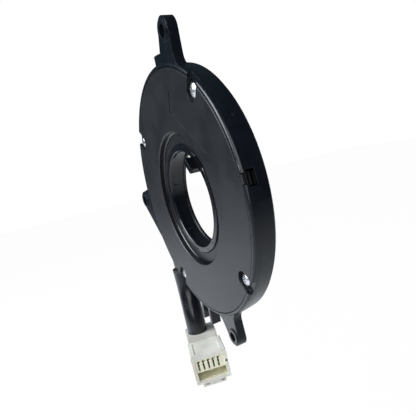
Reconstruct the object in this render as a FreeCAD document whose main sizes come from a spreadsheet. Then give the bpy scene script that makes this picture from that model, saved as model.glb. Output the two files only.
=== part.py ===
"""Steering angle sensor, in millimetres: X to the right, Y to the rear, Z up.

The rotor turns about Y. Y = 0 is the plane of the three lugs' rear faces, which rest
on the steering column switch; the cover faces -Y and the cable hangs towards -Z.
Angles are measured from X towards Z, so the lower lug is at -75 degrees.
"""

import math
import os

import FreeCAD
import Part
import Sketcher

V = FreeCAD.Vector
os.makedirs("parts", exist_ok=True)
doc = FreeCAD.newDocument("steering_angle_sensor")
sheet = doc.addObject("Spreadsheet::Sheet", "Sizes")


class Size:
    """A length or an angle that knows its number and its spreadsheet formula."""

    def __init__(self, value, text=None):
        self.value = float(value)
        self.text = repr(float(value)) if text is None else text

    @staticmethod
    def of(other):
        return other if isinstance(other, Size) else Size(other)

    def _join(self, sign, other, value):
        return Size(value, f"({self.text} {sign} {other.text})")

    def __add__(self, other):
        other = Size.of(other)
        return self._join("+", other, self.value + other.value)

    def __radd__(self, other):
        return Size.of(other) + self

    def __sub__(self, other):
        other = Size.of(other)
        return self._join("-", other, self.value - other.value)

    def __rsub__(self, other):
        return Size.of(other) - self

    def __mul__(self, other):
        other = Size.of(other)
        return self._join("*", other, self.value * other.value)

    def __rmul__(self, other):
        return Size.of(other) * self

    def __truediv__(self, other):
        other = Size.of(other)
        return self._join("/", other, self.value / other.value)

    def __rtruediv__(self, other):
        return Size.of(other) / self

    def __neg__(self):
        return Size(-self.value, f"(-{self.text})")


def cos(angle):
    """Cosine of an angle in degrees."""
    return Size(math.cos(math.radians(angle.value)), f"cos({angle.text})")


def sin(angle):
    """Sine of an angle in degrees."""
    return Size(math.sin(math.radians(angle.value)), f"sin({angle.text})")


def tan(angle):
    """Tangent of an angle in degrees."""
    return Size(math.tan(math.radians(angle.value)), f"tan({angle.text})")


def arccos(ratio):
    """Angle in degrees, as a plain number, whose cosine is the ratio."""
    ratio = Size.of(ratio)
    value = math.degrees(math.acos(ratio.value))
    return Size(value, f"(acos({ratio.text}) / 1 deg)")


def arctan(ratio):
    """Angle in degrees, as a plain number, whose tangent is the ratio."""
    ratio = Size.of(ratio)
    value = math.degrees(math.atan(ratio.value))
    return Size(value, f"(atan({ratio.text}) / 1 deg)")


def root_of(square):
    """Square root of a size."""
    square = Size.of(square)
    return Size(math.sqrt(square.value), f"sqrt({square.text})")


ROTOR_TEETH = 66
TEETH = {"a": 28, "b": 26}
MESH_TOOTH = {"a": 34, "b": 48}

# Driving sizes. The sheet holds each as a plain number under its own name.
SIZES = {
    # housing and its place on the column
    "wall_thick": 2.6,
    "gear_wall_gap": 3.985,
    "body_depth": 9.7,
    "front_reach": 4.2,
    "rear_taper": 0.8,
    "floor_thick": 1.4,
    "edge_round": 1.1,
    "rear_edge_break": 0.9,
    "journal_thick": 2.0,
    "journal_height": 0.6,
    # cover
    "cover_thick": 1.4,
    "cover_edge_gap": 0.2,
    "lip_thick": 1.45,
    "recess_width": 4.6,
    "recess_depth": 2.5,
    "recess_floor": 1.2,
    "recess_wall": 1.2,
    # rotor
    "bore_radius": 19.5,
    "bore_relief": 0.7,
    "collar_length": 1.8,
    "rear_lip_length": 1.0,
    "sleeve_thick": 1.1,
    "flange_width": 2.7,
    "rotor_setback": 1.8,
    "rotor_rear_setback": 0.1,
    "running_gap": 0.08,
    "pocket_count": 5.0,
    "pocket_angle": 13.0,
    "pocket_start": 149.0,
    "pocket_length": 3.6,
    "pocket_depth": 1.0,
    "flange_slot_width": 0.5,
    "flange_slot_depth": 0.9,
    "dog_angle": 41.0,
    "dog_width": 5.5,
    "dog_thick": 2.3,
    "dog_reach": 4.2,
    # gear train
    "pressure_angle": 20.0,
    "tooth_thinning": 0.08,
    "centre_easing": 0.05,
    "rotor_face": 3.4,
    "gear_face": 2.4,
    "gear_setback": 0.6,
    "hub_radius": 3.6,
    "magnet_radius": 2.5,
    "magnet_thick": 1.2,
    "pin_radius": 1.0,
    "pin_boss_radius": 2.6,
    # lugs
    "lug_offset": 9.0,
    "lug_flare": 4.5,
    "lug_end_radius": 4.3,
    "lug_taper": 11.0,
    "lug_setback": 0.5,
    "lug_boss_radius": 3.5,
    "lug_hole_radius": 2.1,
    "lug_angle": 75.0,
    # screws and snaps
    "screw_angle": 53.0,
    "screw_head_radius": 2.25,
    "screw_head_thick": 1.3,
    "screw_radius": 1.25,
    "screw_length": 7.0,
    "screw_post_radius": 2.9,
    "notch_radius": 3.3,
    "notch_depth": 1.5,
    "snap_angle": 8.6,
    "snap_width": 4.2,
    "snap_thick": 1.0,
    "snap_height": 3.2,
    "snap_count": 3.0,
    "ear_width": 3.0,
    # circuit board
    "board_thick": 1.0,
    "board_gap": 0.8,
    "board_start": 97.0,
    "board_span": 196.0,
    "board_post_radius": 1.9,
    # cable outlet and leads
    "outlet_y": 0.65,
    "outlet_angle": 219.0,
    "outlet_slot_width": 8.3,
    "outlet_slot_height": 2.4,
    "grommet_flange": 1.5,
    "sleeve_radius": 5.2,
    "cable_wall": 0.9,
    "lead_radius": 0.6,
    "lead_pitch": 1.4,
    "lead_count": 5.0,
    # connector
    "mouth_x": -14.2,
    "mouth_y": -6.6,
    "mouth_z": -83.3,
    "mouth_turn": -16.5,
    "shell_width": 18.0,
    "shell_height": 15.7,
    "shell_length": 16.7,
    "shell_wall": 1.5,
    "shell_corner": 0.5,
    "face_step": 0.5,
    "face_top": 5.6,
    "deck_height": -1.5,
    "front_wall": 2.0,
    "chamber_width": 2.1,
    "slot_width": 0.9,
    "contact_height": 1.5,
    "contact_end": 10.4,
    "crimp_start": 11.4,
    "crimp_end": 14.2,
    "panel_depth": 0.3,
    "mouth_depth": 9.0,
    "rail_height": 2.35,
    "lock_thick": 0.6,
    "pole_pitch": 2.5,
    "pole_first": -5.85,
    "hood_width": 15.8,
    "hood_length": 13.2,
    "hood_corner": 1.2,
    "hood_wall": 1.2,
    "hood_rise": 3.1,
    "hood_seat": -1.3,
}


def fill_sheet():
    """Writes every driving size into the sheet and returns them as Size values."""
    found = {}
    for row, (name, value) in enumerate(SIZES.items(), start=1):
        sheet.set(f"A{row}", name)
        sheet.set(f"B{row}", repr(value))
        sheet.setAlias(f"B{row}", name)
        found[name] = Size(value, f"Sizes.{name}")
    doc.recompute()
    return found


S = fill_sheet()


def derive(name, size):
    """Adds a worked-out size to the sheet, as a formula on the driving sizes."""
    row = len(S) + 1
    sheet.set(f"A{row}", name)
    sheet.set(f"B{row}", "=" + size.text.replace("Sizes.", ""))
    sheet.setAlias(f"B{row}", name)
    S[name] = Size(size.value, f"Sizes.{name}")


def derive_sizes():
    """Sizes that follow from others: the gear train sets the wall, the wall the rest."""
    derive("rotor_radius", S["bore_radius"] + S["flange_width"])
    derive("recess_radius", S["rotor_radius"] + S["recess_width"])
    derive("gear_module", (S["rotor_radius"] + 0.025) / (ROTOR_TEETH / 2 - 1.25))
    teeth = ROTOR_TEETH + TEETH["a"]
    gear_reach = S["gear_module"] * (teeth / 2 + TEETH["a"] / 2 + 0.95) + S["centre_easing"]
    derive("wall_inner_radius", gear_reach + S["gear_wall_gap"])
    derive("body_radius", S["wall_inner_radius"] + S["wall_thick"])
    derive("rear_radius", S["body_radius"] - S["rear_taper"])
    derive("screw_circle", S["wall_inner_radius"] - 2.0)
    derive("lug_circle", S["body_radius"] + S["lug_offset"])
    derive("board_inner", S["recess_radius"] + S["recess_wall"] + 0.8)
    derive("board_outer", S["wall_inner_radius"] - 1.8)
    derive("board_middle", (S["board_inner"] + S["board_outer"]) / 2)
    derive("board_post_circle", S["wall_inner_radius"] - 4.8)
    derive("header_face", S["wall_inner_radius"] - 3.2)
    derive("outlet_x", -(S["wall_inner_radius"] - 6.4))
    derive("outlet_bottom", -(S["body_radius"] * 0.74))
    derive("web_end_x", S["body_radius"] * 0.958)
    derive("web_end_y", S["body_radius"] * 0.368)
    across = S["lug_circle"] - S["web_end_x"]
    apart = root_of(across * across + S["web_end_y"] * S["web_end_y"])
    derive("web_tangent", 90.0 + arctan(across / S["web_end_y"])
           - arccos(S["lug_end_radius"] / apart))
    doc.recompute()


derive_sizes()


def new_body(name):
    """A part design body whose label names its file."""
    body = doc.addObject("PartDesign::Body", name)
    body.Label = name
    return body


def origin_plane(body, role):
    """One of a body's own origin planes."""
    return next(f for f in body.Origin.OriginFeatures if f.Role == role)


def new_sketch(body, name, role, lift=None, turn=None, turn_axis=V(0, 0, 1)):
    """A sketch on an origin plane, lifted along its normal and turned in degrees."""
    sketch = body.newObject("Sketcher::SketchObject", name)
    sketch.AttachmentSupport = (origin_plane(body, role), [""])
    sketch.MapMode = "FlatFace"
    lift = Size.of(0 if lift is None else lift)
    turn = Size.of(0 if turn is None else turn)
    rotation = FreeCAD.Rotation(turn_axis, turn.value)
    sketch.AttachmentOffset = FreeCAD.Placement(V(0, 0, lift.value), rotation)
    if "Sizes." in lift.text:
        sketch.setExpression(".AttachmentOffset.Base.z", lift.text)
    if "Sizes." in turn.text and rotation.Axis.isEqual(turn_axis, 1e-6):
        sketch.setExpression(".AttachmentOffset.Rotation.Angle", turn.text)
    return sketch


def tie(sketch, kind, *where, size):
    """A driving constraint bound to its formula."""
    size = Size.of(size)
    index = sketch.addConstraint(Sketcher.Constraint(kind, *where, size.value))
    if "Sizes." in size.text:
        sketch.setExpression(f"Constraints[{index}]", size.text)


def draw_polygon(sketch, corners):
    """A closed outline whose corners each keep their own two sizes."""
    corners = [(Size.of(x), Size.of(y)) for x, y in corners]
    first = sketch.GeometryCount
    count = len(corners)
    for number in range(count):
        x0, y0 = corners[number]
        x1, y1 = corners[(number + 1) % count]
        start = V(x0.value, y0.value, 0)
        sketch.addGeometry(Part.LineSegment(start, V(x1.value, y1.value, 0)))
    for number in range(count):
        after = first + (number + 1) % count
        sketch.addConstraint(Sketcher.Constraint("Coincident", first + number, 2, after, 1))
    for number, (x, y) in enumerate(corners):
        for kind, size in (("DistanceX", x), ("DistanceY", y)):
            tie(sketch, kind, -1, 1, first + number, 1, size=size)


def draw_outline(sketch, corners):
    """A closed outline of lines and arcs.

    Each corner is (x, y) or (x, y, radius): then the run to the next corner is an arc
    about a centre on the right for a positive radius and on the left for a negative one.
    """
    corners = [tuple(Size.of(part) for part in corner) for corner in corners]
    first = sketch.GeometryCount
    count = len(corners)
    ends = []
    for number in range(count):
        start = V(corners[number][0].value, corners[number][1].value, 0)
        after = corners[(number + 1) % count]
        stop = V(after[0].value, after[1].value, 0)
        if len(corners[number]) == 2:
            sketch.addGeometry(Part.LineSegment(start, stop))
            ends.append((1, 2))
            continue
        radius = corners[number][2].value
        chord = stop - start
        side = V(chord.y, -chord.x, 0).normalize() * math.copysign(1.0, radius)
        centre = (start + stop) * 0.5 + side * math.sqrt(radius ** 2 - (chord.Length / 2) ** 2)
        low, high = (stop, start) if radius > 0 else (start, stop)
        angles = [math.atan2(end.y - centre.y, end.x - centre.x) for end in (low, high)]
        if angles[1] < angles[0]:
            angles[1] += 2 * math.pi
        circle = Part.Circle(centre, V(0, 0, 1), abs(radius))
        sketch.addGeometry(Part.ArcOfCircle(circle, angles[0], angles[1]))
        ends.append((2, 1) if radius > 0 else (1, 2))
    for number in range(count):
        after = (number + 1) % count
        sketch.addConstraint(Sketcher.Constraint("Coincident", first + number, ends[number][1],
                                                 first + after, ends[after][0]))
    for number, corner in enumerate(corners):
        for kind, size in (("DistanceX", corner[0]), ("DistanceY", corner[1])):
            tie(sketch, kind, -1, 1, first + number, ends[number][0], size=size)
        if len(corner) == 3:
            radius = corner[2] if corner[2].value > 0 else -corner[2]
            tie(sketch, "Radius", first + number, size=radius)


def draw_box(sketch, x0, x1, y0, y1):
    """A closed rectangle between two opposite corners."""
    draw_polygon(sketch, [(x0, y0), (x1, y0), (x1, y1), (x0, y1)])


def draw_circle(sketch, x, y, radius):
    """A circle that keeps its centre and radius."""
    x, y, radius = Size.of(x), Size.of(y), Size.of(radius)
    circle = Part.Circle(V(x.value, y.value, 0), V(0, 0, 1), radius.value)
    index = sketch.addGeometry(circle)
    tie(sketch, "Radius", index, size=radius)
    for kind, size in (("DistanceX", x), ("DistanceY", y)):
        if size.value == 0 and "Sizes." not in size.text:
            sketch.addConstraint(Sketcher.Constraint("PointOnObject", index, 3,
                                                     -2 if kind == "DistanceX" else -1))
        else:
            tie(sketch, kind, -1, 1, index, 3, size=size)


def extrude(body, kind, sketch, length, backwards=False):
    """A pad or pocket of a given length."""
    length = Size.of(length)
    feature = body.newObject(f"PartDesign::{kind}", f"{sketch.Name}_{kind.lower()}")
    feature.Profile = sketch
    feature.Length = length.value
    if "Sizes." in length.text:
        feature.setExpression("Length", length.text)
    feature.Reversed = backwards
    return feature


def turned(body, kind, sketch, angle=360.0):
    """A revolution or groove about the Y axis of the body."""
    angle = Size.of(angle)
    feature = body.newObject(f"PartDesign::{kind}", f"{sketch.Name}_{kind.lower()}")
    feature.Profile = sketch
    feature.ReferenceAxis = (origin_plane(body, "Y_Axis"), [""])
    feature.Angle = angle.value
    if "Sizes." in angle.text:
        feature.setExpression("Angle", angle.text)
    return feature


def ring(body, kind, name, inner, outer, low, high, start=None, span=None):
    """A ring, or a sector of one, added or cut; start and span are in degrees."""
    if span is None:
        sketch = new_sketch(body, name, "XY_Plane")
        draw_box(sketch, inner, outer, low, high)
        return turned(body, kind, sketch)
    end = Size.of(start) + Size.of(span)
    sketch = new_sketch(body, name, "XY_Plane", turn=end, turn_axis=V(0, -1, 0))
    draw_box(sketch, inner, outer, low, high)
    return turned(body, kind, sketch, span)


def plate(body, kind, name, low, high, draw, turn=None):
    """A pad or cut between two Y planes; draw puts the outline into the sketch."""
    low, high = Size.of(low), Size.of(high)
    sketch = new_sketch(body, name, "XZ_Plane", lift=-low, turn=turn)
    draw(sketch)
    backwards = kind == "Pad"
    return extrude(body, kind, sketch, high - low, backwards)


def radial_sketch(body, name, angle, radius, y):
    """A sketch whose normal points away from the Y axis, at a radius and an angle."""
    angle, radius, y = Size.of(angle), Size.of(radius), Size.of(y)
    sketch = new_sketch(body, name, "YZ_Plane", turn=angle, turn_axis=V(-1, 0, 0))
    x, z = on_circle(radius, angle)
    rotation = sketch.AttachmentOffset.Rotation
    sketch.AttachmentOffset = FreeCAD.Placement(V(y.value, z.value, x.value), rotation)
    for axis, size in (("x", y), ("y", z), ("z", x)):
        if "Sizes." in size.text:
            sketch.setExpression(f".AttachmentOffset.Base.{axis}", size.text)
    return sketch


def round_edges(body, name, radius, chosen):
    """Rounds the edges of the newest feature for which chosen(edge) holds."""
    doc.recompute()
    base = body.Tip
    edges = [f"Edge{n}" for n, e in enumerate(base.Shape.Edges, start=1) if chosen(e)]
    rounding = body.newObject("PartDesign::Fillet", name)
    rounding.Base = (base, edges)
    rounding.Radius = radius.value
    rounding.setExpression("Radius", radius.text)
    body.Tip = rounding
    return rounding


def repeat(body, features, count, axis_role="Y_Axis"):
    """Copies of features, evenly spaced about an origin axis of the body."""
    count = Size.of(count)
    pattern = body.newObject("PartDesign::PolarPattern", f"{features[0].Name}_round")
    pattern.Originals = features
    pattern.Axis = (origin_plane(body, axis_role), [""])
    pattern.Angle = 360
    pattern.Occurrences = int(count.value)
    if "Sizes." in count.text:
        pattern.setExpression("Occurrences", count.text)
    body.Tip = pattern
    return pattern


def place(body, x=0, y=0, z=0, axis=None, angle=0):
    """Puts a body in its place, with every part of the place bound to its formula."""
    x, y, z, angle = Size.of(x), Size.of(y), Size.of(z), Size.of(angle)
    axis = V(0, 0, 1) if axis is None else axis
    turn = FreeCAD.Rotation(axis, angle.value)
    body.Placement = FreeCAD.Placement(V(x.value, y.value, z.value), turn)
    for name, size in (("x", x), ("y", y), ("z", z)):
        if "Sizes." in size.text:
            body.setExpression(f".Placement.Base.{name}", size.text)
    if "Sizes." in angle.text:
        body.setExpression(".Placement.Rotation.Angle", angle.text)


def involute(cosine):
    """The involute of the pressure angle that has this cosine, in radians."""
    angle = arccos(cosine)
    return tan(angle) - angle * (math.pi / 180.0)


def tooth_outline(sketch, teeth, root_overlap):
    """One involute tooth on the X axis of a sketch whose second axis is Z."""
    pitch = S["gear_module"] * teeth / 2
    base = pitch * cos(S["pressure_angle"])
    tip = pitch + S["gear_module"] * 0.95
    root = pitch - S["gear_module"] * 1.25
    half_pitch = 90.0 / teeth - S["tooth_thinning"] / pitch * (90.0 / math.pi)
    at_pitch = involute(cos(S["pressure_angle"]))

    def half_angle(radius):
        turn = (at_pitch - involute(base / radius)) * (180.0 / math.pi)
        return half_pitch + turn

    low = root + S["gear_module"] * 0.45
    if low.value < base.value + 0.02:
        low = base + 0.03
    points = [(root - root_overlap, half_angle(low)), (low, half_angle(low))]
    for share in (0.5, 1.0):
        radius = low + (tip - low) * share
        points.append((radius, half_angle(radius)))
    right = [(r * cos(a), -(r * sin(a))) for r, a in points]
    left = [(r * cos(a), r * sin(a)) for r, a in reversed(points)]
    draw_polygon(sketch, right + left)


FRONT = -S["front_reach"]
REAR = S["body_depth"] - S["front_reach"]
FLOOR = REAR - S["floor_thick"]
LEDGE = FRONT + S["cover_thick"]
LIP_INNER = S["body_radius"] - S["lip_thick"]
COVER_EDGE = LIP_INNER - S["cover_edge_gap"]
FLANGE_FRONT = FRONT + S["rotor_setback"]
RECESS_BACK = FRONT + S["recess_depth"] + S["recess_floor"]
TEETH_FRONT = RECESS_BACK + 0.3
TEETH_BACK = TEETH_FRONT + S["rotor_face"]
SLEEVE_OUTER = S["bore_radius"] + S["bore_relief"] + S["sleeve_thick"]
BOARD_FRONT = LEDGE + S["board_gap"]
BOARD_BACK = BOARD_FRONT + S["board_thick"]
GEAR_FRONT = TEETH_FRONT + S["gear_setback"]
GEAR_BACK = GEAR_FRONT + S["gear_face"]
HUB_FRONT = GEAR_FRONT - 0.3
PITCH_STEP = 360.0 / ROTOR_TEETH


def mesh_angle(which):
    """Angle at which a measuring gear meets the rotor, on one of the rotor's teeth."""
    return Size.of(MESH_TOOTH[which] * PITCH_STEP)


def mesh_distance(which):
    """Distance of a measuring gear's pin from the rotor's axis."""
    return S["gear_module"] * (ROTOR_TEETH + TEETH[which]) / 2 + S["centre_easing"]


def on_circle(radius, angle):
    """A point in the plane of the disc, as its X and Z."""
    return radius * cos(Size.of(angle)), radius * sin(Size.of(angle))


SNAP_WINDOW_FRONT = LEDGE + 0.2
EAR_SEAT = FRONT + 1.1
BOARD_POSTS = (107.0, 157.0, 205.0, 284.0)


def lug_outline(sketch):
    """A tapered lug along the X axis of its sketch, flared into the rim by two arcs."""
    end_radius = S["lug_end_radius"]
    taper = S["lug_taper"]
    flare = S["lug_flare"]
    rim = S["body_radius"] - 0.2
    tangent_x = S["lug_circle"] + end_radius * sin(taper)
    tangent_y = end_radius * cos(taper)
    across = S["lug_circle"] * sin(taper) + end_radius + flare
    along = root_of((rim + flare) * (rim + flare) - across * across)
    centre_x = across * sin(taper) + along * cos(taper)
    centre_y = across * cos(taper) - along * sin(taper)
    side_x, side_y = centre_x - flare * sin(taper), centre_y - flare * cos(taper)
    share = rim / (rim + flare)
    rim_x, rim_y = centre_x * share, centre_y * share
    root_x = S["rear_radius"] - 1.6
    draw_outline(sketch, [
        (root_x, -rim_y), (rim_x, -rim_y, flare), (side_x, -side_y), (tangent_x, -tangent_y),
        (tangent_x, tangent_y), (side_x, side_y, flare), (rim_x, rim_y), (root_x, rim_y),
    ])


def side_lug_outline(sketch):
    """The left lug: a steep upper edge and a long straight web below."""
    end_radius = S["lug_end_radius"]
    circle = S["lug_circle"]
    root_x = S["rear_radius"] - 1.6
    web_x, web_y = S["web_end_x"], S["web_end_y"]
    draw_polygon(sketch, [(root_x, -end_radius - 1.6), (circle, -end_radius),
                          (circle + end_radius * cos(S["web_tangent"]),
                           end_radius * sin(S["web_tangent"])),
                          (web_x, web_y), (web_x - 0.9, web_y + 0.9),
                          (web_x - 4.4, web_y + 0.9)])


def add_lugs(body):
    """Three mounting lugs with raised bosses and through holes."""
    lug_front = FRONT + S["lug_setback"]
    places = {"upper": S["lug_angle"], "left": Size(180.0), "lower": -S["lug_angle"]}
    for name, angle in places.items():
        outline = side_lug_outline if name == "left" else lug_outline
        plate(body, "Pad", f"{name}_lug", lug_front, 0, outline, turn=angle)

        def end(sketch):
            draw_circle(sketch, S["lug_circle"], 0, S["lug_end_radius"])

        def boss(sketch):
            draw_circle(sketch, S["lug_circle"], 0, S["lug_boss_radius"])

        def hole(sketch):
            draw_circle(sketch, S["lug_circle"], 0, S["lug_hole_radius"])

        plate(body, "Pad", f"{name}_lug_end", lug_front, 0, end, turn=angle)
        plate(body, "Pad", f"{name}_lug_boss", FRONT, 0, boss, turn=angle)
        through = new_sketch(body, f"{name}_lug_hole", "XZ_Plane", lift=1, turn=angle)
        hole(through)
        feature = extrude(body, "Pocket", through, S["body_depth"])
        feature.Midplane = True
    shoulder = ring(body, "Revolution", "upper_lug_shoulder", S["rear_radius"] - 1.6,
                    S["body_radius"] + 2.8, lug_front, 0, S["lug_angle"] + 3, 10)
    return shoulder


def add_cable_guide(body):
    """Two ribs and a rear web under the rim, where the cable can be tucked in."""
    guide_back = FRONT + 4.4
    reach = S["body_radius"] + 7.4
    for name, angle in (("outer_rib", -103.0), ("inner_rib", -95.0)):
        plate(body, "Pad", name, FRONT, guide_back,
              lambda sketch: draw_box(sketch, S["rear_radius"] - 1.6, reach, -0.9, 0.9), turn=angle)
    ring(body, "Revolution", "guide_web", S["rear_radius"] - 1.6, reach - 0.6,
         guide_back - 1.2, guide_back, -103, 8)


def outlet_outline(sketch, half, start, bottom):
    """The bent way of the leads from the board outwards and down, with this half width."""
    angle = S["outlet_angle"]
    x = S["outlet_x"]
    bend_radius = x / cos(angle)
    bend_z = bend_radius * sin(angle)
    mitre = (1 + sin(-angle)) / cos(angle) * -1.0
    start_x, start_z = start * cos(angle), start * sin(angle)
    across_x, across_z = -(half * sin(angle)), half * cos(angle)
    draw_polygon(sketch, [
        (start_x - across_x, start_z - across_z), (x - half, bend_z + half / mitre),
        (x - half, bottom), (x + half, bottom), (x + half, bend_z - half / mitre),
        (start_x + across_x, start_z + across_z),
    ])


def add_cable_outlet(body):
    """An outlet block on the rim, with a slot that leads the leads to the grommet."""
    y = S["outlet_y"]
    slot = S["outlet_slot_width"] / 2
    tall = S["outlet_slot_height"] / 2

    def block(sketch):
        outlet_outline(sketch, slot + 0.9, S["wall_inner_radius"] + 0.6, S["outlet_bottom"])

    def way(sketch):
        outlet_outline(sketch, slot, S["wall_inner_radius"] - 2.6, S["outlet_bottom"] - 1)

    plate(body, "Pad", "outlet_block", y - tall - 1.2, y + tall + 1.2, block)
    plate(body, "Pocket", "outlet_way", y - tall, y + tall, way)


def add_screw_posts(body):
    """Four posts for the cover screws, against the wall."""
    post_front = FRONT + S["notch_depth"] + S["cover_thick"] + 0.1

    def post(sketch):
        draw_circle(sketch, S["screw_circle"], 0, S["screw_post_radius"])

    def pilot(sketch):
        draw_circle(sketch, S["screw_circle"], 0, S["screw_radius"])

    made = []
    pad = plate(body, "Pad", "screw_post", post_front, FLOOR + 0.4, post, turn=S["screw_angle"])
    made.append(pad)
    cut = plate(body, "Pocket", "screw_pilot", post_front, post_front + 6.0, pilot,
                turn=S["screw_angle"])
    made.append(cut)
    repeat(body, made, 4)


def add_board_posts(body):
    """Posts with locating pins that carry the circuit board."""
    for number, angle in enumerate(BOARD_POSTS):
        plate(body, "Pad", f"board_post_{number}", BOARD_BACK, FLOOR + 0.4,
              lambda sketch: draw_circle(sketch, S["board_post_circle"], 0,
                                         S["board_post_radius"]), turn=angle)
        plate(body, "Pocket", f"board_pilot_{number}", BOARD_BACK, BOARD_BACK + 4.0,
              lambda sketch: draw_circle(sketch, S["board_post_circle"], 0, 0.8),
              turn=angle)


def add_gear_seats(body):
    """Round seats on the floor into which the two steel pins are pressed."""
    for which in ("a", "b"):
        centre = mesh_distance(which)
        plate(body, "Pad", f"pin_seat_{which}", GEAR_BACK + 0.1, FLOOR + 0.4,
              lambda sketch: draw_circle(sketch, centre, 0, S["pin_boss_radius"]),
              turn=mesh_angle(which))
        plate(body, "Pocket", f"pin_hole_{which}", GEAR_BACK + 0.1, GEAR_BACK + 1.9,
              lambda sketch: draw_circle(sketch, centre, 0, S["pin_radius"]),
              turn=mesh_angle(which))


def add_rim_notches(body):
    """Notches in the lip, over each cover screw and for the cover's ear."""
    reach = S["body_radius"] + 1

    def screw_notch(sketch):
        draw_box(sketch, S["wall_inner_radius"] - 0.5, reach, -S["notch_radius"],
                 S["notch_radius"])

    def ear_notch(sketch):
        half = S["ear_width"] / 2 + 0.3
        draw_box(sketch, LIP_INNER - 1, reach, -half, half)

    cut = plate(body, "Pocket", "screw_notch", FRONT - 1, FRONT + S["notch_depth"] + 0.05,
                screw_notch, turn=S["screw_angle"])
    repeat(body, [cut], 4)
    return plate(body, "Pocket", "ear_notch", FRONT - 1, EAR_SEAT, ear_notch,
                 turn=S["snap_angle"])


def add_gate_mark(body):
    """The round dimple and nub left by the moulding gate on the side wall."""
    angle, y = 31.6, 1.1
    dimple = radial_sketch(body, "gate_dimple", angle, S["body_radius"] + 0.5, y)
    draw_circle(dimple, 0, 0, 1.9)
    extrude(body, "Pocket", dimple, 0.95)
    nub = radial_sketch(body, "gate_nub", angle, S["body_radius"] - 1.2, y)
    draw_circle(nub, 0, 0, 0.6)
    return extrude(body, "Pad", nub, 1.05)


def add_snap_windows(body):
    """Windows in the wall that the cover's hooks snap into."""
    half = S["snap_width"] / 2 + 0.5

    def window(sketch):
        draw_box(sketch, S["wall_inner_radius"] - 1, S["body_radius"] + 1, -half, half)

    cut = plate(body, "Pocket", "snap_window", SNAP_WINDOW_FRONT,
                SNAP_WINDOW_FRONT + S["snap_height"], window, turn=S["snap_angle"])
    return repeat(body, [cut], S["snap_count"])


def make_housing():
    """The cup: rim, floor, lugs, posts, seats, windows and the cable outlet."""
    body = new_body("housing")
    sketch = new_sketch(body, "cup", "XY_Plane")
    journal = SLEEVE_OUTER + S["running_gap"]
    draw_polygon(sketch, [
        (journal, REAR),
        (S["rear_radius"] - S["rear_edge_break"], REAR),
        (S["rear_radius"], REAR - S["rear_edge_break"]),
        (S["body_radius"], FRONT + 3.0),
        (S["body_radius"], FRONT),
        (LIP_INNER, FRONT),
        (LIP_INNER, LEDGE + 0.05),
        (S["wall_inner_radius"], LEDGE + 0.05),
        (S["wall_inner_radius"], FLOOR),
        (journal + S["journal_thick"], FLOOR),
        (journal + S["journal_thick"], FLOOR - S["journal_height"]),
        (journal, FLOOR - S["journal_height"]),
    ])
    body.Tip = turned(body, "Revolution", sketch)
    front, outer = FRONT.value, S["body_radius"].value
    round_edges(body, "front_edge", S["edge_round"],
                lambda e: hasattr(e.Curve, "Radius") and abs(e.Curve.Radius - outer) < 1e-4
                and abs(e.CenterOfMass.y - front) < 1e-4)
    add_lugs(body)
    add_cable_guide(body)
    add_cable_outlet(body)
    ring(body, "Groove", "cover_seat", S["wall_inner_radius"] - 1, LIP_INNER, FRONT - 1, LEDGE + 0.05)
    ring(body, "Groove", "wall_face", S["wall_inner_radius"] - 2, S["wall_inner_radius"],
         LEDGE - 1, FLOOR)
    add_screw_posts(body)
    add_board_posts(body)
    add_gear_seats(body)
    add_snap_windows(body)
    add_rim_notches(body)
    body.Tip = add_gate_mark(body)
    return body


def make_cover():
    """The front plate with its sunk ring, screw notches and snap hooks."""
    body = new_body("cover")
    sketch = new_sketch(body, "disc", "XY_Plane")
    recess = S["recess_radius"]
    outer_wall = recess + S["recess_wall"]
    floor_front = FRONT + S["recess_depth"]
    hole = S["rotor_radius"] + S["running_gap"]
    draw_polygon(sketch, [
        (hole, floor_front), (recess - 0.3, floor_front), (recess, floor_front - 0.3),
        (recess, FRONT + 0.35), (recess + 0.35, FRONT), (COVER_EDGE - 0.25, FRONT),
        (COVER_EDGE, FRONT + 0.25), (COVER_EDGE, LEDGE), (outer_wall, LEDGE),
        (outer_wall, RECESS_BACK), (hole, RECESS_BACK),
    ])
    turned(body, "Revolution", sketch)
    pad_back = FRONT + S["notch_depth"] + S["cover_thick"]

    def notch_round(draw_sketch):
        draw_circle(draw_sketch, S["screw_circle"] - 0.4, 0, S["notch_radius"])

    def notch_mouth(draw_sketch):
        draw_box(draw_sketch, S["screw_circle"] - 0.4, S["body_radius"],
                 -S["notch_radius"], S["notch_radius"])

    def screw_hole(draw_sketch):
        draw_circle(draw_sketch, S["screw_circle"], 0, S["screw_radius"] + 0.2)

    turn = S["screw_angle"]
    seat_pad = ring(body, "Revolution", "screw_seat", S["screw_circle"] - 4.2,
                    S["wall_inner_radius"] - 0.25, LEDGE - 0.3, pad_back, turn - 4.9, 9.8)
    repeat(body, [seat_pad], 4)
    notch_floor = FRONT + S["notch_depth"]
    cuts = []
    for name, draw, back in (("notch_round", notch_round, notch_floor),
                             ("notch_mouth", notch_mouth, notch_floor),
                             ("screw_hole", screw_hole, pad_back + 1)):
        cut = plate(body, "Pocket", name, FRONT - 0.5, back, draw, turn=turn)
        repeat(body, [cut], 4)
        cuts.append(cut)
    add_ear(body)
    add_snap_hooks(body)
    add_marking_frame(body)
    return body


def add_ear(body):
    """The ear that lies in the rim's notch and keeps the cover from turning."""
    half = S["ear_width"] / 2

    def ear(sketch):
        draw_box(sketch, COVER_EDGE - 1, S["body_radius"] - 0.3, -half, half)

    body.Tip = plate(body, "Pad", "ear", FRONT - 0.15, EAR_SEAT - 0.05, ear, turn=S["snap_angle"])
    front = FRONT.value - 0.15
    reach = S["body_radius"].value - 0.8
    return round_edges(body, "ear_edge", Size(0.35, "0.35 * Sizes.cover_thick / 1.4"),
                       lambda e: abs(e.CenterOfMass.y - front) < 1e-4
                       and e.CenterOfMass.Length > reach)


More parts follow.
